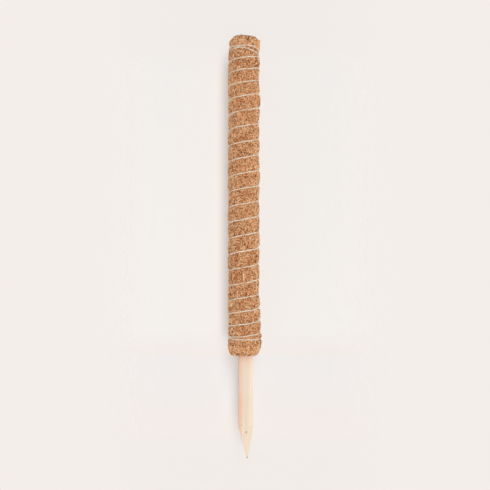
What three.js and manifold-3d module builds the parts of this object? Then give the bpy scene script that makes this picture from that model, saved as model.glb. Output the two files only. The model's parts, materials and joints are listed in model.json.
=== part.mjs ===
// Moss pole: a whittled dowel, one coir mat lapped round it and one length of twine wound round the mat.
// Millimetres, +Z up along the pole, origin on the stake's axis at the soil line, front towards -Y.
// The winding takes the most skill: one unbroken right-hand helix that the mat's grooves follow.
import * as THREE from "three";
import { mergeVertices } from "three/addons/utils/BufferGeometryUtils.js";
import Module from "manifold-3d";

// Stake
const stakeRadius = 7;
const stakeBelow = 100; // soil line down to the tip
const stakeTopRecess = 3; // stake top below the mat's upper end
const stakeTopChamfer = 0.8;
const stakeSides = 40;
// Knife cuts: degrees from the front towards the right, height, and distance of the tip's end from the axis.
const facets = [
  { turn: 34, length: 31, tip: 1 },
  { turn: 95, length: 31.5, tip: 1.85 },
  { turn: 200, length: 31, tip: 1 },
  { turn: 272, length: 30.5, tip: -0.85 },
];

// Coir mat
const matLength = 302.5;
const matRadius = 14.3;
const matOffset = 1.9; // the mat's middle lies left of the stake's axis
const endRound = 3.4; // rounding of the lower end
const endRoundHeight = 5;
const topRim = 1.1; // width of the top's rim round the stake
const topSlope = 1.4; // power of the top's slope: 1 is a cone, more is rounder
const topFall = 1.6; // the upper end falls towards the right
const footSwell = 0.75; // on the right side
const footSwellHeight = 18;
const footSwellReach = 13;
const topNarrow = 0.65; // on the left side
const topNarrowReach = 14;

// Lap of the mat on its right side: the outer tongue comes round from behind
const lapAngle = -6; // degrees from +X, outer free edge
const lapSpan = 70; // degrees
const lapEdge = 3; // thickness of the free edge
const lapSlit = 0.4;
const lapFeather = 0.8; // thickness of the hidden inner edge
const lapEar = 1.6; // the free edge's upper corner stands proud
const lapEarSpan = 30; // degrees
const lapEarHeight = 8;
const lapEarDrop = 2; // and lies below the mat's upper end
const lapSteps = 7;

// Twine
const twineDiameter = 1.2;
const twineTurns = 22.875;
const twineStand = 0.2; // proud of the mat
const startTurn = 7 / 24; // from the lap edge, on the hidden back
const firstTurnHeight = 13; // above the mat's lower end
const lastTurnDrop = 10; // below the mat's upper end
const closingPitch = 2.6; // close turns at both ends
const lowClosingTurns = 1.4;
const highClosingTurns = 1.75;
const rampTurns = 0.4; // close pitch to open pitch
const pitchSway = [
  [1, 0.3],
  [2, -1.7],
  [4, -1],
]; // hand-wound unevenness: half waves over the run, millimetres a turn
const lowTilt = 0.8; // the end turns lie aslant, higher on the left
const highTilt = 4;
const lowTiltPlace = 0.35; // turns from the winding's end to the middle of the slant
const highTiltPlace = 1.05;
const tiltReach = 0.5; // turns
const grooveFlat = 0.5; // half width of the groove's floor
const grooveSlope = 1.4;
const turnSteps = 24;
const twineSides = 6;

// Knots: a barrel of wraps with a short tail at each end of the twine
const knotRadius = 1.4;
const knotWaist = 1.15;
const knotLength = 3.6;
const knotWraps = 3;
const knotTail = 7;
const knotSides = 12;
const liftSteps = 6; // winding steps over which an end rises to its knot

const fit = 0.3; // clearance between touching pieces

const degrees = Math.PI / 180;
const up = new THREE.Vector3(0, 0, 1);
const twineRadius = twineDiameter / 2;
const boreRadius = (stakeRadius + fit) / Math.cos(Math.PI / turnSteps);
const stakeTop = matLength - stakeTopRecess;

const wasm = await Module();
wasm.setup();

function cleanGeometry(geometry) {
  const bare = new THREE.BufferGeometry();
  const source = geometry.index ? geometry.toNonIndexed() : geometry;
  bare.setAttribute("position", source.getAttribute("position"));
  const merged = mergeVertices(bare, 1e-4);
  const index = [];
  for (let i = 0; i < merged.index.count; i += 3) {
    const [a, b, c] = merged.index.array.slice(i, i + 3);
    if (a !== b && b !== c && c !== a) index.push(a, b, c);
  }
  merged.setIndex(index);
  return merged;
}

function toSolid(geometry) {
  const clean = cleanGeometry(geometry);
  return new wasm.Manifold(
    new wasm.Mesh({
      numProp: 3,
      vertProperties: new Float32Array(clean.attributes.position.array),
      triVerts: new Uint32Array(clean.index.array),
    }),
  );
}

function toGeometry(solid) {
  const mesh = solid.getMesh();
  const geometry = new THREE.BufferGeometry();
  const points = new THREE.BufferAttribute(mesh.vertProperties.slice(), 3);
  geometry.setAttribute("position", points);
  geometry.setIndex(new THREE.BufferAttribute(mesh.triVerts.slice(), 1));
  return geometry;
}

function geometryOf(points, index) {
  const geometry = new THREE.BufferGeometry();
  geometry.setFromPoints(points);
  geometry.setIndex(index);
  return geometry;
}

// A profile of [radius, height] turned round +Z.
function turned(profile, sides) {
  const points = profile.map(([radius, height]) => new THREE.Vector2(radius, height));
  return cleanGeometry(new THREE.LatheGeometry(points, sides).rotateX(Math.PI / 2));
}

function smooth(value) {
  const share = THREE.MathUtils.clamp(value, 0, 1);
  return share * share * (3 - 2 * share);
}

// Stake: a dowel with four knife-cut facets down to a blunt tip.
function facetCutter({ turn, length, tip }) {
  const angle = (turn - 90) * degrees;
  const out = new THREE.Vector3(Math.cos(angle), Math.sin(angle), 0);
  const across = up.clone().cross(out);
  const slope = out.clone().multiplyScalar(stakeRadius - tip);
  slope.addScaledVector(up, length).normalize();
  const normal = across.clone().cross(slope);
  const lowest = out.clone().multiplyScalar(tip).addScaledVector(up, -stakeBelow);
  const size = 6 * stakeRadius;
  const block = new THREE.BoxGeometry(size, size, 4 * length);
  block.translate(size / 2, 0, 0);
  block.applyMatrix4(new THREE.Matrix4().makeBasis(normal, across, slope).setPosition(lowest));
  return toSolid(block);
}

function makeStake() {
  const dowel = turned(
    [
      [0, -stakeBelow],
      [stakeRadius, -stakeBelow],
      [stakeRadius, stakeTop - stakeTopChamfer],
      [stakeRadius - stakeTopChamfer, stakeTop],
      [0, stakeTop],
    ],
    stakeSides,
  );
  let solid = toSolid(dowel);
  for (const facet of facets) solid = solid.subtract(facetCutter(facet));
  return toGeometry(solid);
}

// Winding: its height grows turn by turn, close at both ends and open between.
const startStep = Math.round(startTurn * turnSteps);
const endStep = startStep + Math.round(twineTurns * turnSteps);
const wholeTurns = Math.ceil(twineTurns);
const lastStep = (wholeTurns + 1) * turnSteps;
const runStart = startTurn + lowClosingTurns;
const runEnd = startTurn + twineTurns - highClosingTurns;
const leftTurn = (180 - lapAngle) / 360;

function runShare(turn) {
  const rise = smooth((turn - runStart) / rampTurns + 0.5);
  const fall = smooth((runEnd - turn) / rampTurns + 0.5);
  return rise * fall;
}

function swayAt(turn) {
  const share = (turn - runStart) / (runEnd - runStart);
  let sway = 0;
  for (const [halfWaves, size] of pitchSway) sway += size * Math.cos(Math.PI * halfWaves * share);
  return sway;
}

function tiltShare(fromEnd, place) {
  const reach = (fromEnd / turnSteps - place) / tiltReach;
  return Math.exp(-reach * reach);
}

function slantAt(step) {
  const low = lowTilt * tiltShare(step - startStep, lowTiltPlace);
  const high = highTilt * tiltShare(endStep - step, highTiltPlace);
  return (low + high) * Math.cos(2 * Math.PI * (step / turnSteps - leftTurn));
}

function windingHeights() {
  let fixedClimb = 0;
  let runTurns = 0;
  for (let step = startStep; step < endStep; step++) {
    const turn = (step + 0.5) / turnSteps;
    const run = runShare(turn);
    fixedClimb += (closingPitch * (1 - run) + swayAt(turn) * run) / turnSteps;
    runTurns += run / turnSteps;
  }
  const climb = matLength - firstTurnHeight - lastTurnDrop;
  const runPitch = (climb - fixedClimb) / runTurns;
  const heights = new Array(lastStep + 1);
  heights[startStep] = firstTurnHeight;
  for (let step = startStep - 1; step >= 0; step--) {
    heights[step] = heights[step + 1] - (0.2 * closingPitch) / turnSteps;
  }
  for (let step = startStep; step < lastStep; step++) {
    const turn = (step + 0.5) / turnSteps;
    const run = runShare(turn);
    const wound = closingPitch * (1 - run) + (runPitch + swayAt(turn)) * run;
    const pitch = step < endStep ? wound : closingPitch;
    heights[step + 1] = heights[step] + pitch / turnSteps;
  }
  return heights.map((height, step) => height + slantAt(step));
}

const windingHeight = windingHeights();

function footShare(height) {
  const reach = (height - footSwellHeight) / footSwellReach;
  return Math.exp(-reach * reach);
}

function topShare(height) {
  const reach = Math.max(0, matLength - height) / topNarrowReach;
  return Math.exp(-reach * reach);
}

function matRadiusAt(height) {
  return matRadius + footSwell * footShare(height) - topNarrow * topShare(height);
}

// How far left of the stake's axis the mat's middle lies.
function matOffsetAt(height) {
  return matOffset - footSwell * footShare(height) - topNarrow * topShare(height);
}

function onMat(angle, radius, height) {
  const x = radius * Math.cos(angle * degrees) - matOffsetAt(height);
  return new THREE.Vector3(x, radius * Math.sin(angle * degrees), height);
}

function onBore(angle, height) {
  const x = boreRadius * Math.cos(angle * degrees);
  return new THREE.Vector3(x, boreRadius * Math.sin(angle * degrees), height);
}

function stepAngle(step) {
  return lapAngle + (360 * step) / turnSteps;
}

// Coir mat: columns of points round one closed outline, each from the lower end to the upper end.
const grooveDepth = twineDiameter + fit - twineStand;
const slitAngle = lapSlit / matRadius / degrees;

function groovedRadius(column, height) {
  let groove = 0;
  for (let step = column; step <= lastStep; step += turnSteps) {
    if (step < startStep || step > endStep) continue;
    const away = Math.abs(height - windingHeight[step]);
    const share = 1 - (away - grooveFlat) / grooveSlope;
    groove = Math.max(groove, THREE.MathUtils.clamp(share, 0, 1));
  }
  return matRadiusAt(height) - groove * grooveDepth;
}

// The mat's upper end falls towards the right and dips to the ear of the free edge.
function earShare(angle) {
  return Math.max(0, 1 - (angle - lapAngle) / lapEarSpan);
}

function endTop(angle) {
  return matLength - (topFall * (1 + Math.cos(angle * degrees))) / 2;
}

function topAt(angle) {
  return endTop(angle) - lapEarDrop * earShare(angle);
}

function columnRows(column) {
  const rows = [];
  let below = endRoundHeight;
  for (let step = column; step <= column + wholeTurns * turnSteps; step += turnSteps) {
    const height = windingHeight[step];
    const last = step + turnSteps > lastStep;
    const above = last ? topAt(stepAngle(column)) - endRoundHeight : windingHeight[step + turnSteps];
    const lowRoom = height - below;
    const highRoom = above - height;
    rows.push(height - Math.min(grooveFlat + grooveSlope, 0.4 * lowRoom));
    rows.push(height - Math.min(grooveFlat, 0.2 * lowRoom));
    rows.push(height + Math.min(grooveFlat, 0.2 * highRoom));
    rows.push(height + Math.min(grooveFlat + grooveSlope, 0.4 * highRoom));
    if (!last) rows.push((height + above) / 2);
    below = height;
  }
  return rows;
}

// Thickness of the mat's top between its outside and the bore.
function topWall(angle) {
  const offset = matOffsetAt(matLength);
  const side = offset * Math.sin(angle * degrees);
  const bore = offset * Math.cos(angle * degrees) + Math.sqrt(boreRadius * boreRadius - side * side);
  return matRadiusAt(matLength) - bore;
}

// A round edge below and a sloping one above, shallower where the lap is thin, but for the free edge's ear.
function endShape(column, height) {
  const angle = stepAngle(column);
  const fromTop = topAt(angle) - height;
  const overLap = column < turnSteps ? Math.min(1, (360 * column) / turnSteps / lapSpan) : 0;
  const thin = lapEdge - lapFeather;
  if (fromTop > height) {
    const bend = 1 - Math.min(1, height / endRoundHeight);
    const round = endRound * (1 - Math.sqrt(1 - bend * bend));
    return -Math.min(round, THREE.MathUtils.lerp(thin, endRound, overLap));
  }
  const deepest = THREE.MathUtils.lerp(thin, topWall(angle) - topRim, overLap);
  const drop = deepest * (1 - Math.min(1, fromTop / endRoundHeight) ** (1 / topSlope));
  const ear = earShare(angle);
  return ear * lapEar * smooth(1 - fromTop / lapEarHeight) - (1 - ear) * drop;
}

function outerColumn(column) {
  const angle = stepAngle(column) + (column === 0 ? slitAngle : 0);
  const lower = [0, 0.06, 0.3, 1].map((share) => share * endRoundHeight);
  const upper = [1, 0.5, 0.15, 0].map((share) => topAt(stepAngle(column)) - share * endRoundHeight);
  const points = [];
  for (const height of [...lower, ...columnRows(column), ...upper]) {
    const radius = groovedRadius(column, height) + endShape(column, height);
    points.push(onMat(angle, radius, height));
  }
  return points;
}

// The scarf of the lap runs from below the free edge down to the bore.
function scarfColumn(share, inset) {
  const angle = lapAngle + slitAngle + share * (lapSpan - slitAngle);
  const top = inset > 0 ? endTop(angle) : topAt(angle);
  const column = [];
  for (const height of [0, top]) {
    const point = onMat(angle, matRadius - lapEdge, height).lerp(onBore(angle, height), share);
    const inward = new THREE.Vector3(Math.cos(angle * degrees), Math.sin(angle * degrees), 0);
    column.push(point.addScaledVector(inward, -inset));
  }
  return column;
}

function edgeColumn(like, angle, radius) {
  return like.map((point) => onMat(angle, radius, point.z));
}

function matColumns() {
  const outer = [];
  for (let column = 0; column <= turnSteps; column++) outer.push(outerColumn(column));
  const stepEdge = edgeColumn(outer[turnSteps], lapAngle, matRadius - lapEdge - lapSlit);
  const freeEdge = edgeColumn(outer[0], lapAngle + slitAngle, matRadius - lapEdge);
  const rootThickness = matRadius - matOffset - lapEdge - boreRadius;
  const innerEnd = 1 - (lapSlit + lapFeather) / rootThickness;
  const inner = [];
  const under = [];
  for (let step = 1; step <= lapSteps; step++) {
    inner.push(scarfColumn((innerEnd * step) / lapSteps, lapSlit));
    under.push(scarfColumn(step / lapSteps, 0));
  }
  const innerAngle = lapAngle + slitAngle + innerEnd * (lapSpan - slitAngle);
  const bore = [];
  const boreSpan = 360 + innerAngle - (lapAngle + lapSpan);
  for (let step = 0; step < turnSteps; step++) {
    const angle = innerAngle - (boreSpan * step) / turnSteps;
    bore.push([onBore(angle, 0), onBore(angle, endTop(angle))]);
  }
  return [...outer, stepEdge, ...inner, ...bore, ...under.reverse(), freeEdge];
}

// Fills the face between two columns, climbing both together.
function zipColumns(index, left, right) {
  let a = 0;
  let b = 0;
  while (a < left.length - 1 || b < right.length - 1) {
    const nextLeft = (a + 1) / (left.length - 1);
    const nextRight = (b + 1) / (right.length - 1);
    if (a < left.length - 1 && nextLeft <= nextRight) {
      index.push(left[a], right[b], left[a + 1]);
      a += 1;
    } else {
      index.push(left[a], right[b], right[b + 1]);
      b += 1;
    }
  }
}

function capOutline(index, points, outline, facesUp) {
  const flat = outline.map((id) => new THREE.Vector2(points[id].x, points[id].y));
  for (const [a, b, c] of THREE.ShapeUtils.triangulateShape(flat, [])) {
    const turn = flat[b].clone().sub(flat[a]).cross(flat[c].clone().sub(flat[a]));
    const [first, second] = turn > 0 === facesUp ? [b, c] : [c, b];
    index.push(outline[a], outline[first], outline[second]);
  }
}

function makeMat() {
  const points = [];
  const ids = matColumns().map((column) => column.map((point) => points.push(point) - 1));
  const index = [];
  ids.forEach((column, place) => zipColumns(index, column, ids[(place + 1) % ids.length]));
  capOutline(index, points, ids.map((column) => column[0]), false);
  capOutline(index, points, ids.map((column) => column.at(-1)), true);
  return geometryOf(points, index);
}

// Twine: one tube, lying in the groove, its ends rising to the knots and running out straight.
const knotClear = knotRadius + fit + twineRadius - twineStand;

function windingPath() {
  const path = [];
  for (let step = startStep; step <= endStep; step++) {
    const toEnd = Math.min(step - startStep, endStep - step);
    const lift = knotClear * smooth(1 - toEnd / liftSteps);
    const height = windingHeight[step];
    const radius = matRadiusAt(height) + twineStand - twineRadius + lift;
    path.push(onMat(stepAngle(step), radius, height));
  }
  const first = path[0].clone().sub(path[1]).setLength(twineDiameter).add(path[0]);
  const last = path.at(-1).clone().sub(path.at(-2)).setLength(twineDiameter).add(path.at(-1));
  return [first, ...path, last];
}

const twinePath = windingPath();

function tubeAlong(path, radius, sides) {
  const points = [];
  const index = [];
  path.forEach((point, place) => {
    const before = path[Math.max(place - 1, 0)];
    const after = path[Math.min(place + 1, path.length - 1)];
    const along = after.clone().sub(before).normalize();
    const out = new THREE.Vector3(point.x + matOffsetAt(point.z), point.y, 0);
    out.addScaledVector(along, -out.dot(along)).normalize();
    const across = along.clone().cross(out);
    for (let side = 0; side < sides; side++) {
      const angle = (2 * Math.PI * side) / sides;
      const corner = point.clone().addScaledVector(out, radius * Math.cos(angle));
      points.push(corner.addScaledVector(across, radius * Math.sin(angle)));
    }
  });
  for (let ring = 0; ring < path.length - 1; ring++) {
    for (let side = 0; side < sides; side++) {
      const a = ring * sides + side;
      const b = ring * sides + ((side + 1) % sides);
      index.push(a, b, b + sides, a, b + sides, a + sides);
    }
  }
  const top = (path.length - 1) * sides;
  for (let side = 1; side < sides - 1; side++) {
    index.push(0, side + 1, side, top, top + side, top + side + 1);
  }
  return geometryOf(points, index);
}

function leastGap(path, diameter) {
  let least = Infinity;
  for (let a = 0; a < path.length; a++) {
    for (let b = a + turnSteps / 2; b < path.length; b++) {
      least = Math.min(least, path[a].distanceTo(path[b]));
    }
  }
  return least - diameter;
}

// Knot: wraps of the twine's end drawn into a barrel, with the tail left standing.
function makeKnot(meets, along) {
  const profile = [[0, 0]];
  const rows = 4 * knotWraps;
  for (let row = 0; row <= rows; row++) {
    const swell = Math.abs(Math.sin((Math.PI * knotWraps * row) / rows));
    const radius = knotWaist + (knotRadius - knotWaist) * swell;
    profile.push([radius, (knotLength * row) / rows]);
  }
  profile.push([twineRadius, knotLength]);
  profile.push([twineRadius, knotLength + knotTail - twineRadius / 2]);
  profile.push([twineRadius / 2, knotLength + knotTail]);
  profile.push([0, knotLength + knotTail]);
  const knot = turned(profile, knotSides);
  knot.applyQuaternion(new THREE.Quaternion().setFromUnitVectors(up, along));
  const base = meets.clone().addScaledVector(along, fit);
  knot.translate(base.x, base.y, base.z);
  return knot;
}

function knotAt(end, inner) {
  return makeKnot(end, end.clone().sub(inner).normalize());
}

const wood = { color: 0xefd6bd, roughness: 0.75 };
const coir = { color: 0xc18d62, roughness: 1 };
const yarn = { color: 0xdccdb0, roughness: 0.95 };

const pole = new THREE.Group();
pole.name = "moss_pole";

function addPiece(name, geometry, look) {
  const mesh = new THREE.Mesh(geometry, new THREE.MeshStandardMaterial(look));
  mesh.name = name;
  pole.add(mesh);
}

addPiece("stake", makeStake(), wood);
addPiece("coir_mat", makeMat(), coir);
addPiece("binding_twine", tubeAlong(twinePath, twineRadius, twineSides), yarn);
addPiece("bottom_knot", knotAt(twinePath[0], twinePath[1]), yarn);
addPiece("top_knot", knotAt(twinePath.at(-1), twinePath.at(-2)), yarn);

const gap = leastGap(twinePath, twineDiameter);
console.log("binding_twine: least gap to itself " + gap.toFixed(2) + " mm");

export default pole;
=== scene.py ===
import json
import math

import bpy
import numpy as np
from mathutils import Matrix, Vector

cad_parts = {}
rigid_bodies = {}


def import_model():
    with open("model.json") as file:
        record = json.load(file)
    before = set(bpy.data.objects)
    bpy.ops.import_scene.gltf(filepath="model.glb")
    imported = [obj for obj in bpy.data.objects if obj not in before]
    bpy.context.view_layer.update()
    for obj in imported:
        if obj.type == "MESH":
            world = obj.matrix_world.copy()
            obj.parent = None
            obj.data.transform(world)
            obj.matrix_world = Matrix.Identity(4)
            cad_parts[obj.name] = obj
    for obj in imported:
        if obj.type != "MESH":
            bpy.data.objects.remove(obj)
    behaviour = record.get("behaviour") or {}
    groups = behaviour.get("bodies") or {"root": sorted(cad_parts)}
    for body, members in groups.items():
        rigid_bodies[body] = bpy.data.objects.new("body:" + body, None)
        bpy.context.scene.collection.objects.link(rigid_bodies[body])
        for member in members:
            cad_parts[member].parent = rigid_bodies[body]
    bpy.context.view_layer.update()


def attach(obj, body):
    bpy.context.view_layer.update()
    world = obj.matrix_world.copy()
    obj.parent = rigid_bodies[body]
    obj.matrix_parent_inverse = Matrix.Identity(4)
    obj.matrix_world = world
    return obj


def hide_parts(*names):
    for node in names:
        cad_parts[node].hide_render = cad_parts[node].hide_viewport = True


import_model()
mm = 0.001
rng = np.random.default_rng(41)
print("frame loaded")

# camera: straight on, a long lens a good metre away
cameraSetup = {
    "aim": (-0.76, 0.0, 103.7),  # mm
    "distance": 1150.0,  # mm
    "frameWidth": 467.8,  # mm seen across the picture at the pole's axis
}


def makeCamera(setup):
    camera = bpy.data.cameras.new("camera")
    camera.sensor_width = 36.0
    camera.lens = 36.0 * setup["distance"] / setup["frameWidth"]
    camera.clip_end = 20.0
    holder = bpy.data.objects.new("camera", camera)
    x, y, z = setup["aim"]
    holder.location = (x * mm, (y - setup["distance"]) * mm, z * mm)
    holder.rotation_euler = (math.radians(90), 0, 0)
    bpy.context.scene.collection.objects.link(holder)
    bpy.context.scene.camera = holder


makeCamera(cameraSetup)


# small helpers for meshes and nodes
def smoothStep(value):
    share = np.clip(value, 0.0, 1.0)
    return share * share * (3.0 - 2.0 * share)


def bell(value):
    return np.exp(-value * value)


def addPiece(name, points, faceLists, material, slot, tones=None):
    mesh = bpy.data.meshes.new(name)
    points = np.asarray(points, np.float32).reshape(-1, 3) * mm
    corners = np.concatenate([np.asarray(f, np.int32).ravel() for f in faceLists])
    sizes = np.concatenate([np.full(len(f), len(f[0]), np.int32) for f in faceLists])
    starts = np.concatenate([[0], np.cumsum(sizes)[:-1]]).astype(np.int32)
    mesh.vertices.add(len(points))
    mesh.vertices.foreach_set("co", points.ravel())
    mesh.loops.add(len(corners))
    mesh.loops.foreach_set("vertex_index", corners)
    mesh.polygons.add(len(sizes))
    mesh.polygons.foreach_set("loop_start", starts)
    mesh.polygons.foreach_set("use_smooth", np.ones(len(sizes), bool))
    mesh.update(calc_edges=True)
    mesh.validate()
    for label, values in (tones or {}).items():
        layer = mesh.attributes.new(label, "FLOAT", "POINT")
        layer.data.foreach_set("value", np.asarray(values, np.float32))
    mesh.materials.append(material)
    piece = bpy.data.objects.new(name, mesh)
    bpy.context.scene.collection.objects.link(piece)
    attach(piece, "root")
    return piece


# faces of closed tubes: rings of points one after another, with a cap at both ends
def tubeFaces(count, length, sides):
    first = np.arange(count)[:, None, None] * (length * sides)
    ring = first + np.arange(length - 1)[None, :, None] * sides
    side = np.arange(sides)
    after = (side + 1) % sides
    quads = np.stack([ring + side, ring + after, ring + after + sides, ring + side + sides], -1)
    caps = [first[:, 0] + side[::-1], first[:, 0] + (length - 1) * sides + side]
    return [quads.reshape(-1, 4), np.concatenate(caps)]


# closed tubes round many paths at once: paths is (strands, points, 3), radii is (strands, points)
def tubeStrands(paths, radii, sides, outward):
    along = np.gradient(paths, axis=1)
    along /= np.maximum(np.linalg.norm(along, axis=2, keepdims=True), 1e-9)
    out = outward - (outward * along).sum(2, keepdims=True) * along
    out /= np.maximum(np.linalg.norm(out, axis=2, keepdims=True), 1e-9)
    across = np.cross(along, out)
    turn = (2 * np.pi * np.arange(sides) / sides)[:, None]
    ring = out[:, :, None, :] * np.cos(turn) + across[:, :, None, :] * np.sin(turn)
    points = paths[:, :, None, :] + ring * radii[:, :, None, None]
    return points.reshape(-1, 3), tubeFaces(*paths.shape[:2], sides)


# several sets of tubes as one: each set is paths, radii and outward
def mergedTubes(sets, sides):
    allPoints, quads, caps, start = [], [], [], 0
    for paths, radii, outward in sets:
        points, faces = tubeStrands(paths, radii, sides, outward)
        allPoints.append(points)
        quads.append(faces[0] + start)
        caps.append(faces[1] + start)
        start += len(points)
    return np.concatenate(allPoints), [np.concatenate(quads), np.concatenate(caps)]


def solid(colour):
    return (*colour, 1.0)


# a socket given as the value is linked, any other value is set
def connect(tree, socket, value):
    if isinstance(value, bpy.types.NodeSocket):
        tree.links.new(value, socket)
    else:
        socket.default_value = value


# node settings and inputs by name, with _ for a space
def feed(tree, node, **values):
    for key, value in values.items():
        if hasattr(node, key):
            setattr(node, key, value)
        else:
            connect(tree, node.inputs[key.replace("_", " ")], value)
    return node


def put(tree, kind, *inputs, **values):
    node = feed(tree, tree.nodes.new("ShaderNode" + kind), **values)
    for socket, value in zip(node.inputs, inputs):
        connect(tree, socket, value)
    return node


def calc(tree, operation, *inputs, clamp=False):
    return put(tree, "Math", *inputs, operation=operation, use_clamp=clamp).outputs[0]


def spread(tree, value, low, high, toLow=0.0, toHigh=1.0, kind="LINEAR"):
    node = put(tree, "MapRange", value, low, high, toLow, toHigh, interpolation_type=kind)
    return node.outputs["Result"]


def blend(tree, share, first, second):
    mix = put(tree, "Mix", share, data_type="RGBA")
    connect(tree, mix.inputs[6], first)
    connect(tree, mix.inputs[7], second)
    return mix.outputs[2]


def rampOf(tree, value, stops):
    ramp = put(tree, "ValToRGB", value)
    elements = ramp.color_ramp.elements
    while len(elements) < len(stops):
        elements.new(0.5)
    for element, (place, colour) in zip(elements, stops):
        element.position = place
        element.color = solid(colour)
    return ramp.outputs["Color"]


def newMaterial(name):
    material = bpy.data.materials.new(name)
    material.use_nodes = True
    return material, material.node_tree


# the material's own shader, with a bump from a mask
def dress(tree, mask, strength, distance, **values):
    bump = put(tree, "Bump", Strength=strength, Distance=distance, Height=mask)
    feed(tree, tree.nodes["Principled BSDF"], Normal=bump.outputs["Normal"], **values)


def newGroup(name, inputs, output, kind):
    group = bpy.data.node_groups.new(name, "ShaderNodeTree")
    for label, inputKind, value in inputs:
        socket = group.interface.new_socket(label, in_out="INPUT", socket_type=inputKind)
        socket.default_value = value
    group.interface.new_socket(output, in_out="OUTPUT", socket_type=kind)
    start = group.nodes.new("NodeGroupInput")
    end = group.nodes.new("NodeGroupOutput")
    return group, start.outputs, end.inputs[output]


def useGroup(tree, group, **values):
    return feed(tree, tree.nodes.new("ShaderNodeGroup"), node_tree=group, **values).outputs[0]


# shared effects
# streaks drawn out along one direction, for wood grain and for fibres
def makeStreakGroup():
    inputs = [
        ("Stretch", "NodeSocketVector", (900.0, 900.0, 40.0)),
        ("Detail", "NodeSocketFloat", 4.0),
        ("Contrast", "NodeSocketFloat", 1.6),
    ]
    group, start, mask = newGroup("streaks", inputs, "Mask", "NodeSocketFloat")
    place = put(group, "TexCoord").outputs["Object"]
    scaled = put(group, "VectorMath", place, start["Stretch"], operation="MULTIPLY").outputs[0]
    noise = put(group, "TexNoise", Vector=scaled, Detail=start["Detail"], Scale=1.0, Roughness=0.6)
    centred = calc(group, "SUBTRACT", noise.outputs["Fac"], 0.5)
    pushed = calc(group, "MULTIPLY", centred, start["Contrast"])
    connect(group, mask, calc(group, "ADD", pushed, 0.5, clamp=True))
    return group


# blotches of a second colour laid over a first one
def makeBlotchGroup():
    inputs = [
        ("Colour", "NodeSocketColor", (0.5, 0.5, 0.5, 1.0)),
        ("Blotch Colour", "NodeSocketColor", (0.3, 0.3, 0.3, 1.0)),
        ("Scale", "NodeSocketFloat", 300.0),
        ("Amount", "NodeSocketFloat", 0.3),
    ]
    group, start, colour = newGroup("blotches", inputs, "Colour", "NodeSocketColor")
    place = put(group, "TexCoord").outputs["Object"]
    noise = put(group, "TexNoise", Vector=place, Scale=start["Scale"], Detail=3.0, Roughness=0.55)
    patches = spread(group, noise.outputs["Fac"], 0.4, 0.68)
    share = calc(group, "MULTIPLY", patches, start["Amount"], clamp=True)
    connect(group, colour, blend(group, share, start["Colour"], start["Blotch Colour"]))
    return group


streakGroup = makeStreakGroup()
blotchGroup = makeBlotchGroup()


# the winding and the mat, as the solids have them: mm and degrees, unless a note says otherwise
winding = {
    "turns": 22.875,
    "startTurn": 7 / 24,  # from the lap edge
    "firstHeight": 13.0,
    "lastDrop": 10.0,
    "closingPitch": 2.6,
    "lowClosing": 1.4,
    "highClosing": 1.75,
    "rampTurns": 0.4,
    "sway": ((1, 0.3), (2, -1.7), (4, -1.0)),
    "lowTilt": 0.8,
    "highTilt": 4.0,
    "lowTiltPlace": 0.35,  # turns from the winding's end
    "highTiltPlace": 1.05,
    "tiltReach": 0.5,
    "drawn": (  # where a turn is drawn up or down: turn, reach in turns, mm
        (0.52, 0.09, 0.9),
        (21.75, 0.1, 1.3),
        (22.52, 0.1, -1.6),
        (22.8, 0.1, 1.2),
        (22.99, 0.09, -2.2),
    ),
    "diameter": 1.2,
    "stand": 0.2,
}
matSizes = {
    "length": 302.5,
    "radius": 14.3,
    "offset": 1.9,
    "endRound": 3.4,
    "endRoundHeight": 5.0,
    "topRim": 1.1,
    "topSlope": 2.0,
    "topFall": 1.6,
    "footSwell": 0.75,
    "footHeight": 18.0,
    "footReach": 13.0,
    "topNarrow": 0.65,
    "topReach": 14.0,
    "bore": 7.36,
    "lapAngle": -6.0,
    "lapSpan": 70.0,
    "lapEdge": 3.0,
    "lapSlit": 0.4,
    "lapFeather": 0.8,
    "ear": 1.6,
    "earSpan": 30.0,
    "earHeight": 8.0,
    "earDrop": 2.0,
    "bulge": 2.3,  # mm, the free edge pushed out above the foot
    "bulgeHeight": 14.0,
    "bulgeReach": 10.0,
    "pillow": 0.55,  # mm, felt swelling between the turns
    "lump": 0.5,  # mm, slow unevenness of the felt
    "gaps": (  # clefts in the felt: angle, low, high
        (244.4, 68.0, 79.0),
        (244.9, 83.5, 96.0),
        (297.8, 83.5, 91.0),
        (358.6, 11.0, 17.5),
        (357.0, 290.0, 300.0),
    ),
    "gapWidth": 0.8,
    "gapDepth": 1.3,
    "gapSway": 2.5,  # degrees
    "grooveFlat": 0.45,  # mm from the twine's middle, where the groove begins to rise
    "grooveReach": 1.6,
    "fullPitch": 12.0,  # mm between turns, where the felt swells fully
}
lastTurn = winding["startTurn"] + winding["turns"]
wholeTurns = math.ceil(winding["turns"])


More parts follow.
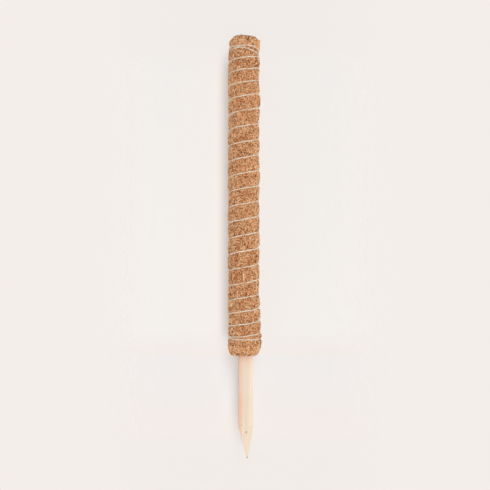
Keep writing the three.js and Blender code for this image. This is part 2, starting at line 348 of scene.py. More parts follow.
def windingTable(w, length):
    fine = 240
    turn = (np.arange((wholeTurns + 1) * fine) + 0.5) / fine
    runStart = w["startTurn"] + w["lowClosing"]
    runEnd = lastTurn - w["highClosing"]
    rise = smoothStep((turn - runStart) / w["rampTurns"] + 0.5)
    run = rise * smoothStep((runEnd - turn) / w["rampTurns"] + 0.5)
    share = (turn - runStart) / (runEnd - runStart)
    sway = sum(size * np.cos(np.pi * half * share) for half, size in w["sway"])
    wound = (turn > w["startTurn"]) & (turn < lastTurn)
    fixed = (w["closingPitch"] * (1 - run) + sway * run)[wound].sum() / fine
    climb = length - w["firstHeight"] - w["lastDrop"]
    runPitch = (climb - fixed) / (run[wound].sum() / fine)
    pitch = w["closingPitch"] * (1 - run) + (runPitch + sway) * run
    pitch[turn < w["startTurn"]] = 0.2 * w["closingPitch"]
    pitch[turn > lastTurn] = w["closingPitch"]
    height = np.concatenate([[0.0], np.cumsum(pitch) / fine])
    turns = np.arange(len(height)) / fine
    height += w["firstHeight"] - np.interp(w["startTurn"], turns, height)
    lowReach = (turns - w["startTurn"] - w["lowTiltPlace"]) / w["tiltReach"]
    highReach = (lastTurn - turns - w["highTiltPlace"]) / w["tiltReach"]
    low, high = w["lowTilt"] * bell(lowReach), w["highTilt"] * bell(highReach)
    leftTurn = (180.0 - matSizes["lapAngle"]) / 360.0
    for place, reach, rise in w["drawn"]:
        height = height + rise * bell((turns - place) / reach)
    return turns, height + (low + high) * np.cos(2 * np.pi * (turns - leftTurn))


windingTurns, windingHeights = windingTable(winding, matSizes["length"])


def windingHeight(turn):
    return np.interp(turn, windingTurns, windingHeights)


lumpWaves = [
    (rng.integers(1, 6), rng.uniform(0.03, 0.2), rng.uniform(0, 6.28), rng.uniform(0.4, 1))
    for _ in range(14)
]


# the foot swells to the right and the top narrows on the left
def endShares(m, height):
    foot = (height - m["footHeight"]) / m["footReach"]
    top = np.clip(m["length"] - height, 0, None) / m["topReach"]
    return m["footSwell"] * bell(foot), m["topNarrow"] * bell(top)


def baseRadius(m, height):
    swell, narrow = endShares(m, height)
    return m["radius"] + swell - narrow


def middleOffset(m, height):
    swell, narrow = endShares(m, height)
    return m["offset"] - swell - narrow


# how far the top slopes in from the mat's outside
def topDepth(m, angle):
    offset = middleOffset(m, m["length"])
    turn = np.radians(angle + m["lapAngle"])
    side = offset * np.sin(turn)
    bore = offset * np.cos(turn) + np.sqrt(m["bore"] ** 2 - side * side)
    return baseRadius(m, m["length"]) - bore - m["topRim"]


# the mat's upper end falls towards the right and dips to the ear of the lap's free edge
def endTop(m, angle):
    return m["length"] - m["topFall"] * (1.0 + np.cos(np.radians(angle + m["lapAngle"]))) / 2


def matTop(m, angle):
    return endTop(m, angle) - m["earDrop"] * np.clip(1.0 - angle / m["earSpan"], 0, 1)


# how near a point of the felt is to the twine: 1 under it, and how full the felt stands between turns
def grooveAndPillow(m, angle, height):
    turn = np.arange(wholeTurns + 1)[None, :] + angle[:, None] / 360.0
    strands = windingHeight(turn)
    away = np.abs(height[:, None] - strands)
    away[(turn < winding["startTurn"]) | (turn > lastTurn)] = 99.0
    groove = smoothStep(1.0 - (away.min(1) - m["grooveFlat"]) / m["grooveReach"])
    foot = np.zeros((len(angle), 1))
    marks = np.concatenate([foot, strands, foot + m["length"]], axis=1)
    above = np.clip((marks <= height[:, None]).sum(1), 1, marks.shape[1] - 1)
    rows = np.arange(len(angle))
    low, high = marks[rows, above - 1], marks[rows, above]
    share = np.clip((height - low) / np.maximum(high - low, 0.1), 0, 1)
    swell = np.sin(np.pi * share) ** 0.7 * np.clip((high - low) / m["fullPitch"], 0, 1)
    return groove, m["pillow"] * (swell - 0.5)


def gapShare(m, angle, height):
    share = np.zeros_like(height)
    for middle, low, high in m["gaps"]:
        bend = m["gapSway"] * np.sin(height * 0.35) + middle
        across = np.abs(angle - bend) * np.pi / 180 * m["radius"] / m["gapWidth"]
        ends = smoothStep((height - low) / 2.0) * smoothStep((high - height) / 2.0)
        share = np.maximum(share, smoothStep(1.6 - across) * ends)
    return share


# outer radius of the felt: angle in degrees from the lap's free edge, height in mm
def matSurface(m, angle, height):
    wave = np.zeros_like(height)
    for around, rise, phase, size in lumpWaves:
        wave += size * np.sin(np.radians(around * angle) + rise * height + phase)
    groove, pillow = grooveAndPillow(m, angle, height)
    depth = winding["diameter"] + 0.3 - winding["stand"]
    radius = baseRadius(m, height) + m["lump"] * wave / 3.0 * (1 - groove)
    radius += pillow * (1 - groove) - depth * groove
    fromTop = matTop(m, angle) - height
    overLap = np.clip(np.minimum(angle / m["lapSpan"], (360.0 - angle) / 15.0), 0, 1)
    thin = m["lapEdge"] - m["lapFeather"]
    bend = 1.0 - np.clip(height / m["endRoundHeight"], 0, 1)
    rounded = m["endRound"] * (1.0 - np.sqrt(1.0 - bend * bend))
    rounded = np.minimum(rounded, thin + (m["endRound"] - thin) * overLap)
    slope = np.clip(fromTop / m["endRoundHeight"], 0, 1) ** (1.0 / m["topSlope"])
    sloped = (thin + (topDepth(m, angle) - thin) * overLap) * (1.0 - slope)
    drop = np.where(fromTop > height, rounded, sloped)
    edge = np.clip(1.0 - angle / m["earSpan"], 0, 1)
    ear = np.where(fromTop < height, edge, 0.0)
    stand = ear * m["ear"] * smoothStep(1.0 - fromTop / m["earHeight"])
    bulge = m["bulge"] * smoothStep(1.0 - np.abs(height - m["bulgeHeight"]) / m["bulgeReach"])
    return radius + stand + edge * bulge * (1 - 0.25 * groove) - (1.0 - ear) * drop


def onMat(m, angle, radius, height):
    turn = np.radians(angle + m["lapAngle"])
    turn, radius, height = np.broadcast_arrays(turn, radius, height)
    x = radius * np.cos(turn) - middleOffset(m, height)
    return np.stack([x, radius * np.sin(turn), height], axis=-1)


def onBore(m, angle, height):
    turn, height = np.broadcast_arrays(np.radians(angle + m["lapAngle"]), height)
    return np.stack([m["bore"] * np.cos(turn), m["bore"] * np.sin(turn), height], axis=-1)


# the felt's radius along strands
def surfaceAt(m, angle, height):
    inside = np.clip(angle.ravel(), 0, 360)
    within = np.clip(height.ravel(), 0, m["length"])
    return matSurface(m, inside, within).reshape(angle.shape)


def grooveAt(m, angle, height):
    inside = np.clip(angle.ravel(), 0, 360)
    return grooveAndPillow(m, inside, height.ravel())[0].reshape(angle.shape)


# coir finishes
coirTones = {
    "dark": (0.17, 0.05, 0.016),
    "brown": (0.58, 0.23, 0.09),
    "tan": (0.98, 0.50, 0.23),
    "straw": (1.0, 0.78, 0.49),
}


def makeFibreFinish(tones):
    material, tree = newMaterial("coirFibre")
    tone = put(tree, "Attribute", attribute_name="strandTone").outputs["Fac"]
    stops = [(0.0, tones["dark"]), (0.24, tones["brown"]), (0.6, tones["tan"]), (1.0, tones["straw"])]
    ramp = rampOf(tree, tone, stops)
    brown = solid(tones["brown"])
    colour = useGroup(tree, blotchGroup, Colour=ramp, Blotch_Colour=brown, Scale=420.0, Amount=0.25)
    streak = useGroup(tree, streakGroup, Stretch=(2600.0, 2600.0, 2600.0), Contrast=1.0)
    dress(tree, streak, 0.25, 0.0001, Base_Color=colour, Roughness=0.7, Specular_IOR_Level=0.05)
    return material


def makeFeltFinish(tones):
    material, tree = newMaterial("coirFelt")
    across = useGroup(tree, streakGroup, Stretch=(1500.0, 1500.0, 420.0), Contrast=2.4)
    upright = useGroup(tree, streakGroup, Stretch=(500.0, 500.0, 1700.0), Contrast=2.4)
    both = calc(tree, "MAXIMUM", across, upright)
    shaded = tuple(0.7 * v for v in tones["brown"])
    stops = [(0.0, tones["dark"]), (0.45, shaded), (0.75, tones["brown"]), (1.0, tones["tan"])]
    colour = rampOf(tree, both, stops)
    dress(tree, both, 0.8, 0.0004, Base_Color=colour, Roughness=0.9, Specular_IOR_Level=0.05)
    return material


coirFelt = makeFeltFinish(coirTones)
coirFibre = makeFibreFinish(coirTones)
print("coir finishes made")


# many strands as one piece of coir; tone is one number a strand or one a point
def addStrands(name, paths, radii, outward, tone, sides=3):
    points, faces = tubeStrands(paths, radii, sides, outward)
    tones = np.broadcast_to(tone.reshape(len(paths), -1), paths.shape[:2])
    values = {"strandTone": np.repeat(tones.ravel(), sides)}
    print(name, len(paths), "strands")
    return addPiece(name, points, faces, coirFibre, "coir", values)


# tones of strands: some much darker, and flecked from point to point
def mottledTones(mean, toneSpread, f, shape):
    tone = rng.normal(mean, toneSpread, shape[0])
    tone -= f["darker"] * (rng.uniform(0, 1, shape[0]) < f["darkShare"])
    return tone[:, None] + rng.normal(0, f["fleck"], shape)


# random walks on a flat face, each about its own middle
def flatWalks(count, points, lengths, wander):
    step = (rng.uniform(*lengths, count) / (points - 1))[:, None]
    drift = np.cumsum(rng.normal(0, wander, (count, points)), axis=1)
    heading = rng.uniform(0, 2 * np.pi, count)[:, None] + drift
    across = np.cumsum(np.cos(heading) * step, axis=1)
    up = np.cumsum(np.sin(heading) * step, axis=1)
    return across - across.mean(1, keepdims=True), up - up.mean(1, keepdims=True)


# coir mat: the felt's body, one sheet lapped round the stake
feltBody = {
    "columns": 144,
    "rowsPerTurn": 12,
    "sunk": 0.45,  # mm below the top of the fibres
    "scarfSteps": 10,
    "boreColumns": 72,
    "flatSize": (0.078, 0.3025),  # m, cut size before rolling
}


def matRows(angle, m, perTurn):
    marks = windingHeight(np.arange(wholeTurns + 1) + angle / 360.0)
    low, top = m["endRoundHeight"], matTop(m, angle)
    marks = np.concatenate([[low], marks, [top - low]])
    share = np.arange(perTurn) / perTurn
    rows = (marks[:-1, None] + (marks[1:] - marks[:-1])[:, None] * share[None, :]).ravel()
    ends = low * np.array([0.0, 0.08, 0.22, 0.42, 0.7])
    return np.concatenate([ends, rows, top - ends[::-1]])


def makeFeltBody(m, f):
    slit = math.degrees(m["lapSlit"] / m["radius"])
    angles = np.linspace(slit, 360.0, f["columns"] + 1)
    columns = []
    for angle in angles:
        rows = matRows(angle, m, f["rowsPerTurn"])
        flat = np.full_like(rows, angle)
        radius = matSurface(m, flat, rows) - f["sunk"]
        radius -= m["gapDepth"] * gapShare(m, flat, rows)
        columns.append(onMat(m, flat, radius, rows))
    dense = len(columns[0])
    stepEdge = columns[-1].copy()
    stepEdge[:, :2] = onMat(m, 360.0, m["radius"] - m["lapEdge"] - m["lapSlit"], 0.0)[:2]
    freeEdge = columns[0].copy()
    freeEdge[:, :2] = onMat(m, slit, m["radius"] - m["lapEdge"], 0.0)[:2]

    def scarf(share, inset, topOf):
        angle = slit + share * (m["lapSpan"] - slit)
        ends = np.array([0.0, topOf(m, angle)])
        turn = math.radians(angle + m["lapAngle"])
        edge = onMat(m, angle, m["radius"] - m["lapEdge"], ends)
        root = onBore(m, angle, ends)
        inward = np.array([math.cos(turn), math.sin(turn), 0.0])
        return edge + (root - edge) * share - inset * inward

    thick = m["radius"] - m["offset"] - m["lapEdge"] - m["bore"]
    innerEnd = 1.0 - (m["lapSlit"] + m["lapFeather"]) / thick
    steps = np.arange(1, f["scarfSteps"] + 1) / f["scarfSteps"]
    inner = [scarf(innerEnd * s, m["lapSlit"], endTop) for s in steps]
    under = [scarf(s, 0.0, matTop) for s in steps[::-1]]
    last = slit + innerEnd * (m["lapSpan"] - slit)
    sweep = np.linspace(last, m["lapSpan"] - 360.0, f["boreColumns"] + 1)[:-1]
    bore = [onBore(m, a, np.array([0.0, endTop(m, a)])) for a in sweep]
    chain = [*columns, stepEdge, *inner, *bore, *under, freeEdge]
    starts = np.cumsum([0] + [len(c) for c in chain])
    quads, triangles = [], []
    for place, column in enumerate(chain):
        following = (place + 1) % len(chain)
        left, right = starts[place], starts[following]
        nLeft, nRight = len(column), len(chain[following])
        row = np.arange(max(nLeft, nRight) - 1)
        if nLeft == nRight:
            quad = [left + row, right + row, right + row + 1, left + row + 1]
            quads.append(np.stack(quad, 1))
        elif nLeft > nRight:
            triangles.append(np.stack([left + row, 0 * row + right, left + row + 1], 1))
            triangles.append(np.array([[left + nLeft - 1, right, right + 1]]))
        else:
            triangles.append(np.stack([0 * row + left, right + row, right + row + 1], 1))
            triangles.append(np.array([[left, right + nRight - 1, left + 1]]))
    lower = starts[:-1][::-1]
    upper = starts[1:] - 1
    faces = [np.concatenate(quads), np.concatenate(triangles), [lower], [upper]]
    print("felt body:", dense, "rows,", len(chain), "columns")
    return addPiece("coirFeltBody", np.concatenate(chain), faces, coirFelt, "coir")


coirMat = makeFeltBody(matSizes, feltBody)
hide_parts("coir_mat")

# lighter and darker patches of the felt, about a fibre bundle across
feltPatches = {"cells": ((0.9, 1.0), (3.0, 0.5)), "strength": 0.1}  # mm and share, tone


def makePatchGrids(m, p):
    grids = []
    for cell, share in p["cells"]:
        around = round(2 * np.pi * m["radius"] / cell)
        rows = int(m["length"] / cell) + 3
        grids.append((cell, share, rng.uniform(-1, 1, (around, rows))))
    return grids


patchGrids = makePatchGrids(matSizes, feltPatches)


def patchTone(m, angle, height):
    total = np.zeros_like(height)
    for cell, share, grid in patchGrids:
        column = np.mod(angle, 360) / 360 * len(grid)
        row = np.clip(height, 0, m["length"]) / cell
        left, low = column.astype(int), row.astype(int)
        across, up = smoothStep(column - left), smoothStep(row - low)
        left, right = left % len(grid), (left + 1) % len(grid)
        lower = grid[left, low] * (1 - across) + grid[right, low] * across
        upper = grid[left, low + 1] * (1 - across) + grid[right, low + 1] * across
        total += share * (lower * (1 - up) + upper * up)
    return feltPatches["strength"] * total


# coir fibres: felted strands over the body, in several layers, the deeper ones darker as painted
# shade
fibreCover = {
    "layers": (
        # strands, lowest and highest offset from the felt's surface in mm, mean tone: lower for the
        # deeper layers, as painted shade
        (5300, -0.85, -0.55, 0.5),
        (5300, -0.60, -0.25, 0.6),
        (5000, -0.30, 0.05, 0.68),
        (4200, -0.05, 0.25, 0.72),
    ),
    "closer": (
        # more strands in a layer where the felt ends: angles, heights in mm, longest strand
        (60, 0.0, 27.0, 290.0, 299.3, 7.0),
        (150, 0.0, 360.0, 0.0, 7.0, 8.0),
        (150, 0.0, 360.0, 295.0, 302.5, 8.0),
        (110, -1.0, 5.0, 0.0, 299.5, 12.0),
    ),
    "toneSpread": 0.2,
    "darkShare": 0.1,  # of the strands
    "darker": 0.35,
    "fleck": 0.44,  # tone from point to point of a strand
    "points": 6,
    "length": (2.0, 7.0),  # mm
    "radius": (0.2, 0.46),  # mm
    "wander": 0.5,  # radians a step
    "weave": 0.18,  # mm, up and down along a strand
    "swing": (1.0, 2.4),  # radians a step of that
    "flattened": 0.75,  # share of the layer's offset lost under the twine
    "pressed": 0.12,  # mm deeper under the twine
    "bared": 1.15,  # strands left out in the clefts
    "shortest": 3.0,  # mm, of the closer strands
    "thinner": 1.3,
    "taper": (0.45, 0.85),  # at the ends and next to them
    "uneven": (0.85, 1.15),
}


# random walks over the felt, as angles and heights
def strandPaths(m, count, points, lengths, wander, area=None):
    fromAngle, toAngle, fromHeight, toHeight = area or (0.0, 360.0, 0.0, m["length"])
    step = (rng.uniform(*lengths, count) / (points - 1))[:, None]
    turning = rng.normal(0, 0.6 * wander, count)[:, None]
    drift = rng.normal(0, wander, (count, points)) + turning
    heading = rng.uniform(0, 2 * np.pi, count)[:, None] + np.cumsum(drift, axis=1)
    angle = np.cumsum(np.degrees(np.cos(heading) * step / m["radius"]), axis=1)
    climb = np.cumsum(np.sin(heading) * step, axis=1)
    angle += rng.uniform(fromAngle, toAngle, count)[:, None] - angle.mean(1, keepdims=True)
    climb += rng.uniform(fromHeight, toHeight, count)[:, None] - climb.mean(1, keepdims=True)
    top = matTop(m, np.clip(angle, 0, 360))
    kept = (angle.min(1) > -3) & (angle.max(1) < 363)
    kept &= (climb.min(1) > -0.4) & ((climb - top).max(1) < 0.4)
    return angle[kept], climb[kept]


def outwardAt(m, angle):
    turn = np.radians(angle + m["lapAngle"])
    return np.stack([np.cos(turn), np.sin(turn), np.zeros_like(turn)], axis=-1)


def makeFibreLayer(m, f, layer, name):
    strands, low, high, meanTone = f["layers"][layer]
    walks = [strandPaths(m, strands, f["points"], f["length"], f["wander"])]
    for count, *area, longest in f["closer"]:
        walks.append(strandPaths(m, count, f["points"], (f["shortest"], longest), f["wander"], area))
    angle = np.concatenate([walk[0] for walk in walks])
    height = np.concatenate([walk[1] for walk in walks])
    bare = gapShare(m, angle.ravel(), height.ravel()).reshape(angle.shape).max(1)
    kept = rng.uniform(0, 1, len(angle)) > f["bared"] * bare
    angle, height = angle[kept], height[kept]
    count = len(angle)
    groove = grooveAt(m, angle, height)
    level = rng.uniform(low, high, count)[:, None]
    phase = rng.uniform(0, 2 * np.pi, count)[:, None]
    swing = rng.uniform(*f["swing"], count)[:, None]
    ripple = np.sin(phase + swing * np.arange(f["points"])[None, :])
    lift = (level + f["weave"] * ripple) * (1 - f["flattened"] * groove) - f["pressed"] * groove
    paths = onMat(m, angle, surfaceAt(m, angle, height) + lift, height)
    thin, thick = f["radius"]
    radius = thin + (thick - thin) * rng.uniform(0, 1, count) ** f["thinner"]
    taper = np.ones(f["points"])
    taper[[0, -1]], taper[[1, -2]] = f["taper"]
    radii = radius[:, None] * taper[None, :] * rng.uniform(*f["uneven"], angle.shape)
    # each layer's mean tone, darker for deeper layers as painted shade, with random spread and
    # patches
    tone = mottledTones(meanTone, f["toneSpread"], f, angle.shape) + patchTone(m, angle, height)
    return addStrands(name, paths, radii, outwardAt(m, angle), np.clip(tone, 0.0, 1.0))


fibrePieces = [
    makeFibreLayer(matSizes, fibreCover, layer, "coirFibres" + str(layer + 1))
    for layer in range(len(fibreCover["layers"]))
]

# short thick ends of fibre bundles, light and dark, that speckle the felt
speckCover = {
    **fibreCover,
    "layers": ((9000, -0.12, 0.16, 0.88),),
    "closer": (
        (120, 0.0, 360.0, 0.0, 4.0, 3.2),
        (120, 0.0, 360.0, 298.0, 302.5, 3.2),
    ),
    "toneSpread": 0.12,
    "darkShare": 0.4,
    "darker": 0.8,
    "fleck": 0.1,
    "points": 4,
    "length": (0.9, 2.4),
    "radius": (0.26, 0.5),
    "weave": 0.08,
}
fibrePieces.append(makeFibreLayer(matSizes, speckCover, 0, "coirSpecks"))

# fibres strayed over the twine
strayFibres = {
    "count": 480,
    "points": 7,
    "length": (3.0, 8.0),
    "radius": (0.12, 0.28),
    "over": 0.12,  # mm above the twine
    "slope": (90, 34),  # degrees, mean and spread
    "bend": 0.8,
    "aside": 0.25,  # of its length, from its middle to the twine
    "lift": 0.15,  # mm off the felt
    "dip": 0.6,  # mm, of both ends
    "tone": (0.3, 0.9),
}


def makeStrayFibres(m, w, s):
    count = s["count"]
    turn = rng.uniform(w["startTurn"], lastTurn, count)
    share = np.linspace(-0.5, 0.5, s["points"])[None, :]
    length = rng.uniform(*s["length"], count)[:, None]
    slope = np.radians(rng.normal(*s["slope"], count))[:, None]
    slope = slope + rng.normal(0, s["bend"], (count, 1)) * share
    middle = rng.normal(0, s["aside"], (count, 1))
    angle = np.mod(turn, 1.0)[:, None] * 360
    angle = angle + np.degrees(np.cos(slope) * length * (share + middle) / m["radius"])
    height = windingHeight(turn)[:, None] + np.sin(slope) * length * (share + middle)
    kept = (angle.min(1) > 0) & (angle.max(1) < 360)
    angle, height, share = angle[kept], height[kept], share + 0 * angle[kept]
    surface, groove = surfaceAt(m, angle, height), grooveAt(m, angle, height)
    crossing = baseRadius(m, height) + w["stand"] + s["over"]
    bow = surface + s["lift"] - s["dip"] * (2 * share) ** 4
    radius = bow + np.clip(crossing - bow, 0, None) * smoothStep(1.4 * groove)
    paths = onMat(m, angle, radius, height)
    thick = rng.uniform(*s["radius"], len(angle))[:, None] * (1 - 1.2 * share**2)
    tone = rng.uniform(*s["tone"], len(angle))
    return addStrands("coirStrayFibres", paths, thick, outwardAt(m, angle), tone)


strayPiece = makeStrayFibres(matSizes, winding, strayFibres)

# loose hairs standing off the felt
looseHairs = {
    "count": 900,
    "points": 7,
    "length": (3.0, 9.0),
    "radius": (0.04, 0.085),
    "rise": (0.2, 1.5),  # mm at the free end
    "root": -0.2,  # mm from the felt's surface
    "lower": 2.2,  # higher for fewer hairs that stand off far
    "curl": 1.6,
    "taper": 0.6,
    "wander": 0.3,
    "tone": (0.45, 1.0),
}


def makeLooseHairs(m, h):
    angle, height = strandPaths(m, h["count"], h["points"], h["length"], h["wander"])
    count = len(angle)
    share = np.linspace(0, 1, h["points"])[None, :]
    least, most = h["rise"]
    rise = least + (most - least) * rng.uniform(0, 1, count) ** h["lower"]
    lift = h["root"] + rise[:, None] * share ** h["curl"]
    paths = onMat(m, angle, surfaceAt(m, angle, height) + lift, height)
    radius = rng.uniform(*h["radius"], count)[:, None] * (1 - h["taper"] * share**2)
    tone = rng.uniform(*h["tone"], count)
    return addStrands("coirLooseHairs", paths, radius, outwardAt(m, angle), tone)


hairPiece = makeLooseHairs(matSizes, looseHairs)

# the mat's two ends: strands over the rounded rims, drawn across the stake's top, and cut tips
endCover = {
    "strands": (3000, 2000),  # at the top, at the foot
    "points": 6,
    "length": (1.2, 5.0),  # mm
    "radius": (0.2, 0.48),
    "level": (-0.5, 0.3),  # mm from the end's surface
    "fill": 3.6,  # mm, depth of the strands over the stake's top
    "dome": 0.75,  # mm, rise of the strands drawn over the top
    "domeReach": 12.0,
    "peak": (1.6, 2.8, -2.75),  # mm, rise, reach and place across
    "tips": (700, 900),
    "tipPoints": 4,
    "tipLength": (1.0, 2.6),
    "tipRise": ((0.0, 0.45), (0.2, 0.9)),
    "tipRadius": (0.1, 0.22),
    "tipTaper": (1.0, 1.0, 0.95, 0.7),
    "tipFrom": 1.5,  # mm from the mat's middle
    "tipClear": 0.6,  # mm from the stake
    "tipRim": 2.2,  # mm from the rim
    "tipLean": 0.75,
    "tipBend": 0.25,  # mm
    "longTips": (0.02, 0.1),  # share of tips left long
    "tipLonger": 1.8,
    "tone": (0.71, 0.14),  # mean and spread
    "darkShare": 0.44,
    "darker": 0.72,
    "fleck": 0.12,
    "footDrop": 0.7,  # mm, the foot's strands below the felt
    "wander": 0.3,
    "tilt": 0.3,  # unevenness of the strands' facing
    "earClear": 10.0,  # mm from the mat's middle, where the ear begins
    "stakeClear": 0.3,  # mm
}


# how high the strands stand over the top's felt
def domeRise(e, x, y):
    rise, reach, across = e["peak"]
    peak = ((x - across) ** 2 + y * y) / reach**2
    dome = 1.0 - np.clip(np.hypot(x, y) / e["domeReach"], 0, 1) ** 4
    return e["dome"] * dome + rise * np.exp(-peak)


# height of an end's surface, rounded towards its rim
def endHeight(m, e, x, y, way):
    if way < 0:
        away = np.hypot(x + middleOffset(m, 0.0), y)
        bend = np.clip((away - baseRadius(m, 0.0)) / m["endRound"] + 1, 0, 1)
        return m["endRoundHeight"] * (1 - np.sqrt(1 - bend * bend)) - e["footDrop"]
    x = x + middleOffset(m, m["length"])
    away, rim = np.hypot(x, y), baseRadius(m, m["length"])
    depth = topDepth(m, np.degrees(np.arctan2(y, x)) - m["lapAngle"])
    share = np.clip((away - rim) / depth + 1, 0, 1)
    fall = m["topFall"] * (1.0 + np.clip(x / rim, -1, 1)) / 2
    return m["length"] - fall + domeRise(e, x, y) - m["endRoundHeight"] * share ** m["topSlope"]


# keeps fibres clear of the stake
def clearOfStake(m, e, paths):
    fromAxis = np.hypot(paths[..., 0], paths[..., 1])
    push = np.maximum(1.0, (m["bore"] + e["stakeClear"]) / np.maximum(fromAxis, 1e-6))
    paths[..., :2] *= push[..., None]


def endStrands(m, e, way):
    count, points = e["strands"][0 if way > 0 else 1], e["points"]
    level = m["length"] if way > 0 else 0.0
    rim, offset = baseRadius(m, level), middleOffset(m, level)
    reach = rim * np.sqrt(rng.uniform(0, 1, count))
    turn = rng.uniform(0, 2 * np.pi, count)
    x, y = flatWalks(count, points, e["length"], e["wander"])
    x = x + (reach * np.cos(turn) - offset)[:, None]
    y = y + (reach * np.sin(turn))[:, None]
    away = np.hypot(x + offset, y)
    lap = np.degrees(np.arctan2(y, x + offset)) - m["lapAngle"]
    onEar = (away > e["earClear"]) & (lap > -4) & (lap < m["earSpan"])
    kept = (away.max(1) < rim - 0.1) & ~onEar.any(1)
    x, y = x[kept], y[kept]
    level = rng.uniform(*e["level"], len(x))
    inner = np.hypot(x, y).max(1) < m["bore"]
    if way > 0:
        depth = np.where(inner, e["fill"], 0.0) + domeRise(e, x + offset, y).mean(1)
        level -= depth * rng.uniform(0, 1, len(x)) ** 2
    paths = np.stack([x, y, endHeight(m, e, x, y, way) + way * level[:, None]], axis=-1)
    if way < 0:
        paths = paths[~inner]
        clearOfStake(m, e, paths)
    radii = rng.uniform(*e["radius"], len(paths))[:, None] * np.ones(points)
    radii[:, [0, -1]] *= 0.5
    return paths, radii


def endTips(m, e, way):
    end = 0 if way > 0 else 1
    count = e["tips"][end]
    turn = rng.uniform(0, 2 * np.pi, count)
    least = e["tipFrom"] if way > 0 else m["bore"] + e["tipClear"]
    away = np.sqrt(rng.uniform(least**2, (m["radius"] - e["tipRim"]) ** 2, count))
    x, y = away * np.cos(turn) - 0.6 * m["offset"], away * np.sin(turn)
    start = np.stack([x, y, endHeight(m, e, x, y, way)], axis=-1)
    lean = rng.normal(0, e["tipLean"], (count, 3))
    lean[:, 2] = way * rng.uniform(*e["tipRise"][end], count)
    lean /= np.linalg.norm(lean, axis=1, keepdims=True)
    length = rng.uniform(*e["tipLength"], count)
    length *= np.where(rng.uniform(0, 1, count) < e["longTips"][end], e["tipLonger"], 1.0)
    along = np.linspace(-0.55, 0.45, e["tipPoints"])
    paths = start[:, None, :] + lean[:, None, :] * (length[:, None] * along)[:, :, None]
    paths = paths + rng.normal(0, e["tipBend"], (count, 1, 3)) * (along**2 * 3)[None, :, None]
    if way < 0:
        clearOfStake(m, e, paths)
    return paths, rng.uniform(*e["tipRadius"], count)[:, None] * np.array(e["tipTaper"])


def makeEnd(m, e, name, way):
    sets, tones = [], []
    for paths, radii in (endStrands(m, e, way), endTips(m, e, way)):
        outward = np.zeros_like(paths)
        outward[..., 2] = way
        outward += rng.normal(0, e["tilt"], (len(paths), 1, 3))
        sets.append((paths, radii, outward))
        tone = mottledTones(*e["tone"], e, paths.shape[:2])
        tones.append(np.repeat(np.clip(tone, 0.02, 1.0).ravel(), 3))
    tones = {"strandTone": np.concatenate(tones)}
    return addPiece(name, *mergedTubes(sets, 3), coirFibre, "coir", tones)


endPieces = [
    makeEnd(matSizes, endCover, "coirTopEnd", 1.0),
    makeEnd(matSizes, endCover, "coirBottomEnd", -1.0),
]

# the lap's free edge where it stands out as an ear
earFace = {
    "strands": 170,
    "points": 6,
    "length": (2.5, 6.0),
    "radius": (0.13, 0.28),
    "tone": (0.8, 0.2),
    "wander": 0.3,
    "depth": (-1.2, 0.8),  # degrees from the free edge
    "clear": 0.3,  # mm from the slit
    "edge": 0.2,  # mm, the strands' room at the ear's outline
    "below": 2.0,  # mm under the ear
    "facing": (0.4, -1.0, 0.0),
}


def makeEarFace(m, e):
    count, points = e["strands"], e["points"]
    away, height = flatWalks(count, points, e["length"], e["wander"])
    top = matTop(m, 0.0)
    inner, outer = m["radius"] - m["lapEdge"], baseRadius(m, top) + m["ear"]
    away = away + rng.uniform(inner, outer, count)[:, None]
    height = height + rng.uniform(top - m["earHeight"], top, count)[:, None]
    away = np.clip(away, inner + e["clear"], outer - e["edge"])
    height = np.clip(height, top - m["earHeight"] - e["below"], top + e["edge"])
    angle = rng.uniform(*e["depth"], count)[:, None] + 0 * away
    paths = onMat(m, angle, away, height)
    radii = rng.uniform(*e["radius"], count)[:, None] * np.ones(points)
    outward = np.zeros_like(paths) + e["facing"]
    tone = np.clip(rng.normal(*e["tone"], count), 0.02, 1.0)
    return addStrands("coirEarFace", paths, radii, outward, tone)


earPiece = makeEarFace(matSizes, earFace)

# single strands that stand out from the rest: angles and heights, radius, tone, lift off the felt
oddStrands = (
    (((319.4, 44.4), (323.9, 42.6), (323.4, 40.2), (317.4, 38.9)), 0.42, 1.0, 0.75),
    (((310.5, 46.6), (316.0, 46.2), (321.0, 45.2), (324.5, 44.0)), 0.42, 0.0, 0.6),
    (((280.0, 45.2), (287.0, 46.2), (294.0, 45.6), (300.0, 44.2)), 0.38, 0.97, 0.6),
    (((274.5, 65.5), (275.8, 70.0), (275.2, 75.0), (273.5, 79.5)), 0.32, 0.95, 0.55),
    (((254.0, 118.0), (259.0, 121.0), (266.0, 122.0), (272.0, 120.0)), 0.32, 0.95, 0.55),
    (((300.0, 212.0), (293.0, 214.5), (286.0, 214.0), (280.0, 211.0)), 0.32, 0.95, 0.55),
    (((262.0, 262.0), (268.0, 258.0), (271.0, 253.0), (270.0, 248.0)), 0.32, 0.92, 0.55),
)


def makeOddStrands(m, strands):
    share = np.linspace(0, 3, 10)
    ends = np.arange(4)
    angle = np.stack([np.interp(share, ends, [a for a, _ in knots]) for knots, *_ in strands])
    height = np.stack([np.interp(share, ends, [h for _, h in knots]) for knots, *_ in strands])
    thick, tone, lift = np.array([numbers for _, *numbers in strands]).T
    paths = onMat(m, angle, surfaceAt(m, angle, height) + lift[:, None], height)
    radii = thick[:, None] * (1.0 - 0.5 * np.abs(share / 1.5 - 1.0) ** 3)[None, :]
    return addStrands("coirOddStrands", paths, radii, outwardAt(m, angle), tone, sides=5)


oddPiece = makeOddStrands(matSizes, oddStrands)
print("coir mat made")

# binding twine: plies twisted together, wound on the mat
twine = {
    "plies": 3,
    "plyRadius": 0.35,
    "plyOffset": 0.31,
    "twist": 4.2,  # mm for one turn of the plies
    "step": 0.5,  # mm
    "sides": 5,
    "unevenness": 0.1,
    "sunk": 0.12,  # mm deeper than it lies free
    "wander": ((0.12, 17.3, 0.0), (0.1, 41.7, 1.0)),  # mm up and down, pace along the turns, phase
    "cream": (1.0, 0.92, 0.78),
    "shade": (0.77, 0.61, 0.44),
}


